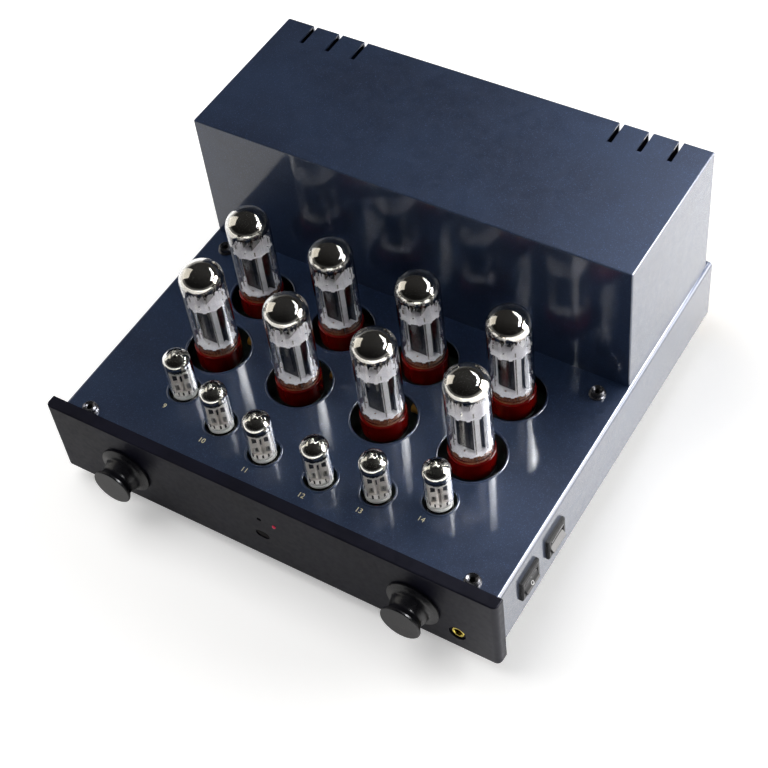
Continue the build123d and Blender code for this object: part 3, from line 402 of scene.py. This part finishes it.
make_piece("power_valve_flash_veil", points, faces, veil, "amplifier")

# Two bent plates on the grid rods above the upper mica shed the grid's heat.
mica_top = 136.0
points, faces = [], []
for x, y in power_spots:
    for side in (-1, 1):
        first = len(points)
        for dy, dz in ((-5.6, 0.2), (-5.0, 7.5), (-1.6, 9.2), (1.6, 9.2), (5.0, 7.5), (5.6, 0.2)):
            for dx in (3.6, 4.0):
                points.append((x + side * (dx + 0.16 * dz), y + dy, mica_top + dz))
        ring = list(range(first, first + 12, 2))
        faces.append(tuple(ring))
        faces.append(tuple(i + 1 for i in reversed(ring)))
        for k in range(6):
            a, b = ring[k], ring[(k + 1) % 6]
            faces.append((a, a + 1, b + 1, b))
fins = finish("grid_fin_metal", (0.16, 0.15, 0.15), (0.30, 0.29, 0.28), 2, (0.25, 0.4), 0.01, metal=0.9)
make_piece("power_valve_grid_fins", points, faces, fins, "amplifier", smooth=False)

# Bright nickel straps are folded down the four corners of each anode and hold its halves together.
strap_metal = finish("strap_nickel", (0.74, 0.72, 0.75), (0.86, 0.84, 0.87), 4, (0.25, 0.4), 0.01,
                     metal=0.2)
corner_x, corner_y, diagonal = 8.6, 5.6, math.sqrt(0.5)
points, faces = [], []
for x, y in power_spots:
    for sx, sy in ((1, 1), (1, -1), (-1, 1), (-1, -1)):
        first = len(points)
        for z in (94.0, 134.8):
            for along, out in ((-2.5, 0.0), (2.5, 0.0), (2.5, 0.35), (-2.5, 0.35)):
                dx, dy = corner_x + diagonal * (out + along), corner_y + diagonal * (out - along)
                points.append((x + sx * dx, y + sy * dy, z))
        faces += [(first, first + 1, first + 2, first + 3), (first + 7, first + 6, first + 5, first + 4)]
        for k in range(4):
            m = (k + 1) % 4
            faces.append((first + k, first + m, first + 4 + m, first + 4 + k))
make_piece("power_valve_anode_straps", points, faces, strap_metal, "amplifier", smooth=False)

# The leads rise out of the glass pinch as copper-coloured wires, bent out to the electrodes, and amber
# cement fills the top of the base round the bulb.
copper = finish("lead_copper", (0.55, 0.22, 0.09), (0.80, 0.38, 0.17), 1.5, (0.2, 0.35), 0.004, metal=1.0)
leads, wire_r = 15, 0.42
points, faces = [], []
for x, y in power_spots:
    for lead in range(leads):
        a = 2 * math.pi * (lead + chance.uniform(-0.2, 0.2)) / leads
        low, high = 6.5 + chance.uniform(-1.0, 1.0), 11.8 + chance.uniform(-1.6, 1.6)
        first = len(points)
        for radius, z in ((low, 86.0), (low + 0.4, 88.2), (high - 0.5, 90.4), (high, 92.9)):
            for corner in range(5):
                c = 2 * math.pi * corner / 5
                out, across = radius + wire_r * math.cos(c), wire_r * math.sin(c)
                points.append((x + out * math.cos(a) - across * math.sin(a),
                               y + out * math.sin(a) + across * math.cos(a), z))
        for ring in range(3):
            for corner in range(5):
                p, q = first + ring * 5 + corner, first + ring * 5 + (corner + 1) % 5
                faces.append((p, q, q + 5, p + 5))
make_piece("power_valve_leads", points, faces, copper, "amplifier")
strips, foot_r, head_r = 40, 14.4, 15.0
points, faces = [], []
for x, y in power_spots:
    for strip in range(strips):
        a = 2 * math.pi * (strip + chance.uniform(-0.35, 0.35)) / strips
        foot, head = 86.9 + chance.uniform(0, 1.2), 91.0 + chance.uniform(0, 1.6)
        wide, lean = chance.uniform(0.012, 0.03), chance.uniform(-0.02, 0.02)
        first = len(points)
        low_edge = ((-wide, foot_r, foot), (wide, foot_r, foot))
        high_edge = ((wide + lean, head_r, head), (lean - wide, head_r, head))
        for da, radius, z in low_edge + high_edge:
            points.append((x + radius * math.cos(a + da), y + radius * math.sin(a + da), z))
        faces.append((first, first + 1, first + 2, first + 3))
make_piece("power_valve_foil_strips", points, faces, copper, "amplifier", smooth=False)
cement = finish("base_cement", (0.16, 0.05, 0.015), (0.30, 0.11, 0.04), 2.5, (0.5, 0.8), 0.08)
heap = [(14.5, 84.2), (13.6, 85.4), (8.0, 86.2), (3.0, 87.6), (0.05, 88.0)]
points, faces = [], []
for x, y in power_spots:
    turn_outline(points, faces, heap, x, y, 48)
make_piece("power_valve_cement", points, faces, cement, "amplifier")

# ---- Signal valves
# Six nine-pin double triodes, all glass, drawn to a sealed tip. Each holds two bright nickel anodes
# side by side between micas, and the same kind of mirrored flash fills its dome.
soft_nickel = finish("anode_nickel", (0.78, 0.71, 0.66), (0.93, 0.87, 0.83), 4, (0.35, 0.5), 0.012,
                     metal=0.15)
dress(soft_nickel, "signal_tube_plates")
small_mica = finish("small_mica", (0.86, 0.82, 0.80), (0.95, 0.92, 0.90), 4, (0.3, 0.5), 0.015)
dress(small_mica, "signal_tube_micas")
small_mirror = finish("small_getter_mirror", (0.64, 0.62, 0.57), (0.80, 0.78, 0.72), 9, (0.02, 0.06), 0.003,
                      metal=1.0)
small_dome = domed([(9.58, 111.2), (9.58, 112.4)], 9.55, 112.5, 6.7, 2.15, 12)
points, faces = [], []
for x, y in signal_spots:
    fray = [chance.uniform(0.0, 0.4) for _ in range(64)]
    turn_outline(points, faces, small_dome, x, y, 64, fray)
make_piece("signal_valve_flash", points, faces, small_mirror, "amplifier")

# The flash also silvers the narrow end of the sealed tip.
thread = [(2.4, 119.5), (1.25, 120.4), (0.95, 121.8), (0.7, 123.2), (0.05, 123.9)]
points, faces = [], []
for x, y in signal_spots:
    turn_outline(points, faces, thread, x, y, 24)
make_piece("signal_valve_tips", points, faces, small_mirror, "amplifier")

# A black band on the glass just under the mirror is painted shade, the getter ring's shadow.
getter_shade_paint = finish("painted_getter_shade", (0.006, 0.005, 0.005), (0.02, 0.017, 0.015), 2, (0.15, 0.3), 0.003)
points, faces = [], []
for x, y in signal_spots:
    fray = [chance.uniform(0.0, 1.1) for _ in range(64)]
    turn_outline(points, faces, [(9.56, 109.0), (9.57, 111.3)], x, y, 64, fray)
make_piece("signal_valve_shade_band", points, faces, getter_shade_paint, "amplifier")

# The pressed glass button that seals the foot is a thick milky ring, with nine leads standing on it.
milky = finish("pressed_glass", (0.90, 0.89, 0.88), (0.97, 0.96, 0.95), 5, (0.12, 0.25), 0.01)
button = [(9.62, 77.9), (9.62, 80.6), (9.2, 81.0), (8.9, 80.6), (7.4, 78.9), (5.0, 78.3), (0.05, 78.2)]
points, faces = [], []
for x, y in signal_spots:
    turn_outline(points, faces, button, x, y, 48)
make_piece("signal_valve_buttons", points, faces, milky, "amplifier")
pin_pitch, wire_r = 36, 0.4
points, faces = [], []
for x, y in signal_spots:
    for k in range(1, 10):
        a = math.radians(pin_pitch * k + 90)
        first = len(points)
        for radius, z in ((5.95, 78.3), (6.2, 79.6), (6.9, 81.4)):
            for corner in range(5):
                c = 2 * math.pi * corner / 5
                points.append((x + radius * math.cos(a) + wire_r * math.cos(c),
                               y + radius * math.sin(a) + wire_r * math.sin(c), z))
        for ring in range(2):
            for corner in range(5):
                p, q = first + ring * 5 + corner, first + ring * 5 + (corner + 1) % 5
                faces.append((p, q, q + 5, p + 5))
make_piece("signal_valve_leads", points, faces, wire_steel, "amplifier")

# Inside each anode stand the grid and its cathode, carbon black behind the windows, and a blackened
# screen parts the two halves. Dark support tabs fold down round the lower mica.
blackened = finish("carbon_black_metal", (0.02, 0.016, 0.014), (0.06, 0.05, 0.045), 2, (0.4, 0.6), 0.01,
                   metal=0.4)
turned, tabs = math.radians(38), 14
points, faces = [], []


def stand_block(points, faces, x, y, centre, half, heights, turn):
    """Adds an upright block, its centre and half sizes in the valve's own frame, turned by an angle."""
    first = len(points)
    for z in heights:
        for sx, sy in ((-1, -1), (1, -1), (1, 1), (-1, 1)):
            u, v = centre[0] + sx * half[0], centre[1] + sy * half[1]
            points.append((x + u * math.cos(turn) - v * math.sin(turn),
                           y + u * math.sin(turn) + v * math.cos(turn), z))
    faces.append((first + 3, first + 2, first + 1, first))
    faces.append((first + 4, first + 5, first + 6, first + 7))
    for k in range(4):
        m = (k + 1) % 4
        faces.append((first + k, first + m, first + 4 + m, first + 4 + k))


for x, y in signal_spots:
    for side in (-1, 1):
        stand_block(points, faces, x, y, (side * 4.3, 0), (2.9, 4.0), (93.2, 104.5), turned)
    stand_block(points, faces, x, y, (0, 0), (0.5, 4.9), (94.0, 103.6), turned)
    for tab in range(tabs):
        a = 2 * math.pi * (tab + chance.uniform(-0.12, 0.12)) / tabs
        half = (0.12, chance.uniform(0.35, 0.75))
        stand_block(points, faces, x, y, (9.0, 0), half, (82.3 + chance.uniform(0, 0.8), 86.2), a)
make_piece("signal_valve_screens", points, faces, blackened, "amplifier", smooth=False)

# ---- Socket numbers
# Plain numbers screen-printed in cream ink on the case, one beside each signal valve.
ink = finish("cream_ink", (0.62, 0.56, 0.34), (0.78, 0.72, 0.48), 1, (0.4, 0.6), 0.01)
left_of, front_of, ink_level = 6.5, 21.8, 0.07825
for number, (x, y) in zip(range(9, 15), sorted(signal_spots)):
    lettering = bpy.data.curves.new(f"number_{number}", "FONT")
    lettering.body = str(number)
    lettering.size = 0.0058
    lettering.extrude = 0.00001
    lettering.align_x = "LEFT"
    drawn = bpy.data.objects.new(f"number_{number}_drawn", lettering)
    mesh = bpy.data.meshes.new_from_object(drawn)
    bpy.data.objects.remove(drawn)
    mesh.materials.clear()
    mesh.materials.append(ink)
    printed = bpy.data.objects.new(f"number_{number}", mesh)
    printed.location = ((x - left_of) / 1000, (y - front_of) / 1000, ink_level)
    bpy.context.collection.objects.link(printed)
    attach(printed, "amplifier")

# ---- Phone jack, lamp and sensor window
# The jack's gold-plated ring sits in a counterbore. The lamp is a red diffused light-emitting diode, and a
# dark acrylic lens covers the remote control sensor.
jack_gold = finish("jack_gold", (0.62, 0.46, 0.06), (0.85, 0.70, 0.14), 3, (0.14, 0.26), 0.003, metal=1.0)
dress(jack_gold, "jack_ring")
dress(nylon, "jack_body")
acrylic = finish("dark_acrylic", (0.002, 0.001, 0.002), (0.005, 0.002, 0.003), 5, (0.03, 0.08), 0.001)
part_of(acrylic, "BSDF_PRINCIPLED").inputs["Specular IOR Level"].default_value = 0.03
dress(acrylic, "ir_window")
lamp = finish("lamp_epoxy", (0.22, 0.004, 0.02), (0.34, 0.008, 0.035), 0.6, (0.2, 0.3), 0.005)
lit = part_of(lamp, "BSDF_PRINCIPLED")
lit.inputs["Emission Color"].default_value = (1.0, 0.03, 0.12, 1)
lit.inputs["Emission Strength"].default_value = 0.18
dress(lamp, "power_led")

# ---- Volume and input controls
# Turned aluminium knobs with a flared skirt, bead blasted and anodised black like the panel, on steel
# shafts that come through it from the control bodies behind.
knob_black = finish("knob_anodising", (0.004, 0.004, 0.006), (0.009, 0.009, 0.012), 6, (0.26, 0.36), 0.005)
part_of(knob_black, "BSDF_PRINCIPLED").inputs["Specular IOR Level"].default_value = 0.5
dress(knob_black, "volume_knob", "input_knob")
dress(pillar, "volume_shaft", "input_shaft")
dress(nylon, "volume_pot", "input_switch")

# ---- Rocker switches
# Two snap-in rockers in the right side, moulded in black. The rear one is glossy. The front one is worn
# to satin, and has a line and a ring painted in its dished face for on and off.
rocker_gloss = finish("rocker_plastic", (0.008, 0.008, 0.009), (0.014, 0.014, 0.015), 4, (0.05, 0.1), 0.003)
dress(rocker_gloss, "mode_rocker")
rocker_satin = finish("worn_rocker_plastic", (0.008, 0.008, 0.009), (0.014, 0.014, 0.015), 4, (0.16, 0.24),
                      0.003)
part_of(rocker_satin, "BSDF_PRINCIPLED").inputs["Specular IOR Level"].default_value = 0.35
dress(rocker_satin, "power_rocker")
bezel_satin = finish("bezel_plastic", (0.010, 0.010, 0.011), (0.020, 0.020, 0.021), 4, (0.2, 0.3), 0.005)
part_of(bezel_satin, "BSDF_PRINCIPLED").inputs["Specular IOR Level"].default_value = 0.12
dress(bezel_satin, "switch_bezels")
white_paint = finish("mark_paint", (0.72, 0.72, 0.72), (0.84, 0.84, 0.84), 1, (0.4, 0.55), 0.004)
lean = Matrix.Translation((184.35, 0, 50)) @ Matrix.Rotation(math.radians(-8), 4, "Y")
dish_axis, dish_radius = 15.80, 9.78
rocker_y, half_line, ring_centre, ring_steps = -128.5, 0.35, -3.4, 32


def on_rocker(y, z):
    """A point on the dished face, in millimetres, just proud of it."""
    return tuple(lean @ Vector((dish_axis - math.sqrt(dish_radius ** 2 - z * z), y, z)))


points, faces = [], []
for k in range(7):
    z = 1.9 + 3.0 * k / 6
    points += [on_rocker(rocker_y - half_line, z), on_rocker(rocker_y + half_line, z)]
    if k:
        faces.append((2 * k - 2, 2 * k - 1, 2 * k + 1, 2 * k))
first = len(points)
for k in range(ring_steps):
    a, m = 2 * math.pi * k / ring_steps, (k + 1) % ring_steps
    for radius in (1.05, 1.7):
        points.append(on_rocker(rocker_y + radius * math.cos(a), ring_centre + radius * math.sin(a)))
    faces.append((first + 2 * k, first + 2 * k + 1, first + 2 * m + 1, first + 2 * m))
make_piece("power_rocker_marks", points, faces, white_paint, "power_rocker", smooth=False)

# ---- Studio
# The amplifier stands on white paper under a large overhead soft box. The key box is low at the right
# rear and a white card stands on the left. Strips high behind draw the streaks and the glints on the glass.
floor_mesh = bpy.data.meshes.new("paper_floor")
edge, level = 8, -0.0003
sheet_corners = [(-edge, -edge, level), (edge, -edge, level), (edge, edge, level), (-edge, edge, level)]
floor_mesh.from_pydata(sheet_corners, [], [(0, 1, 2, 3)])
paper = bpy.data.materials.new("white_paper")
paper.use_nodes = True
nodes, wires = paper.node_tree.nodes, paper.node_tree.links
sheet = nodes["Principled BSDF"]
sheet.inputs["Base Color"].default_value = (0.93, 0.93, 0.93, 1)
sheet.inputs["Roughness"].default_value = 0.95
sheet.inputs["Specular IOR Level"].default_value = 0.1
ray = nodes.new("ShaderNodeLightPath")
seen = nodes.new("ShaderNodeMath")
seen.operation = "MAXIMUM"
wires.new(ray.outputs["Is Camera Ray"], seen.inputs[0])
wires.new(ray.outputs["Is Transmission Ray"], seen.inputs[1])
place = nodes.new("ShaderNodeTexCoord")
across = nodes.new("ShaderNodeSeparateXYZ")
wires.new(place.outputs["Object"], across.inputs["Vector"])
# Painted reflection: to glossy rays the paper glows brighter from just inside the case's right edge
# outward, which the case's right side mirrors as a painted highlight.
painted_reflection_band = nodes.new("ShaderNodeMapRange")
painted_reflection_band.inputs["From Min"].default_value = 0.12
painted_reflection_band.inputs["From Max"].default_value = 0.2
painted_reflection_band.inputs["To Max"].default_value = 0.73
wires.new(across.outputs["X"], painted_reflection_band.inputs["Value"])
painted_side_reflection = nodes.new("ShaderNodeMath")
painted_side_reflection.operation = "MULTIPLY"
wires.new(ray.outputs["Is Glossy Ray"], painted_side_reflection.inputs[0])
wires.new(painted_reflection_band.outputs["Result"], painted_side_reflection.inputs[1])
# Painted shadow: to the camera the paper's glow is weakest near the amplifier and rises far off, a painted
# shade round its foot.
reach = nodes.new("ShaderNodeVectorMath")
reach.operation = "LENGTH"
wires.new(place.outputs["Object"], reach.inputs[0])
painted_shade_falloff = nodes.new("ShaderNodeMapRange")
painted_shade_falloff.inputs["From Min"].default_value = 0.25
painted_shade_falloff.inputs["From Max"].default_value = 1.6
painted_shade_falloff.inputs["To Min"].default_value = 0.38
wires.new(reach.outputs["Value"], painted_shade_falloff.inputs["Value"])
lift = nodes.new("ShaderNodeMath")
lift.operation = "MULTIPLY_ADD"
wires.new(seen.outputs[0], lift.inputs[0])
wires.new(painted_shade_falloff.outputs["Result"], lift.inputs[1])
wires.new(painted_side_reflection.outputs[0], lift.inputs[2])
sheet.inputs["Emission Color"].default_value = (1, 1, 1, 1)
wires.new(lift.outputs[0], sheet.inputs["Emission Strength"])
floor_mesh.materials.append(paper)
floor = bpy.data.objects.new("paper_floor", floor_mesh)
bpy.context.collection.objects.link(floor)
floor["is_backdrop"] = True

world = bpy.data.worlds.new("studio_air")
bpy.context.scene.world = world
world.use_nodes = True
nodes, wires = world.node_tree.nodes, world.node_tree.links
air = nodes["Background"]
where = nodes.new("ShaderNodeTexCoord")
split = nodes.new("ShaderNodeSeparateXYZ")
wires.new(where.outputs["Generated"], split.inputs["Vector"])
dusk = nodes.new("ShaderNodeMapRange")
dusk.inputs["From Min"].default_value = 0.02
dusk.inputs["From Max"].default_value = 0.35
dusk.inputs["To Min"].default_value = 0.9
dusk.inputs["To Max"].default_value = 0.035
wires.new(split.outputs["Z"], dusk.inputs["Value"])
behind = nodes.new("ShaderNodeMapRange")
behind.inputs["From Min"].default_value = -0.7
behind.inputs["From Max"].default_value = 0.4
behind.inputs["To Min"].default_value = 0.25
wires.new(split.outputs["Y"], behind.inputs["Value"])
studio = nodes.new("ShaderNodeMath")
studio.operation = "MULTIPLY"
wires.new(dusk.outputs["Result"], studio.inputs[0])
wires.new(behind.outputs["Result"], studio.inputs[1])
ray = nodes.new("ShaderNodeLightPath")
white = nodes.new("ShaderNodeMix")
white.data_type = "FLOAT"
white.inputs["B"].default_value = 1.0
wires.new(ray.outputs["Is Camera Ray"], white.inputs["Factor"])
wires.new(studio.outputs["Value"], white.inputs["A"])
wires.new(white.outputs["Result"], air.inputs["Strength"])
air.inputs["Color"].default_value = (1, 1, 1, 1)


def soft_box(name, azimuth, elevation, away, wide, tall, brightness, colour):
    """A soft box facing the amplifier, azimuth from +X towards +Y. brightness is against white paper."""
    a, e = math.radians(azimuth), math.radians(elevation)
    toward = Vector((math.cos(a) * math.cos(e), math.sin(a) * math.cos(e), math.sin(e)))
    light = bpy.data.lights.new(name, "AREA")
    light.shape = "RECTANGLE"
    light.size, light.size_y = wide, tall
    light.energy = brightness * math.pi * wide * tall
    light.color = colour
    box = bpy.data.objects.new(name, light)
    box.location = toward * away + Vector((0, 0, 0.08))
    box.rotation_euler = toward.to_track_quat("Z", "Y").to_euler()
    bpy.context.collection.objects.link(box)
    return box


soft_box("key_box", 32, 15.5, 1.6, 0.95, 1.0, 8.5, (1.0, 0.985, 0.97))
overhead = soft_box("overhead_fill", 194, 64, 1.9, 1.6, 1.6, 3.2, (1.0, 0.99, 0.98))
overhead.visible_glossy = False
overhead.visible_transmission = False
soft_box("left_card", 181, 25, 1.5, 0.9, 1.05, 1.0, (1.0, 0.96, 0.88))
for number, (azimuth, brightness) in enumerate(((28, 30.0), (52, 30.0), (75, 19.0)), 1):
    strip = soft_box(f"back_strip_{number}", azimuth, 50, 1.5, 0.70, 0.26, brightness, (0.97, 0.98, 1.0))
    strip.visible_diffuse = False
    strip.visible_transmission = False
glint = soft_box("dome_glint", 76, 46, 1.5, 1.1, 0.035, 9.0, (1.0, 0.99, 0.97))
glint.visible_diffuse = False
glint.visible_glossy = False

lens = bpy.data.cameras.new("camera")
lens.lens = 77.484
lens.sensor_width = 36
camera = bpy.data.objects.new("camera", lens)
camera.location = (0.50406, -0.67011, 1.03032)
camera.rotation_euler = [math.radians(a) for a in (39.455, 5.342, 31.113)]
bpy.context.collection.objects.link(camera)
bpy.context.scene.camera = camera
bpy.context.scene.view_settings.view_transform = "Standard"

low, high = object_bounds()
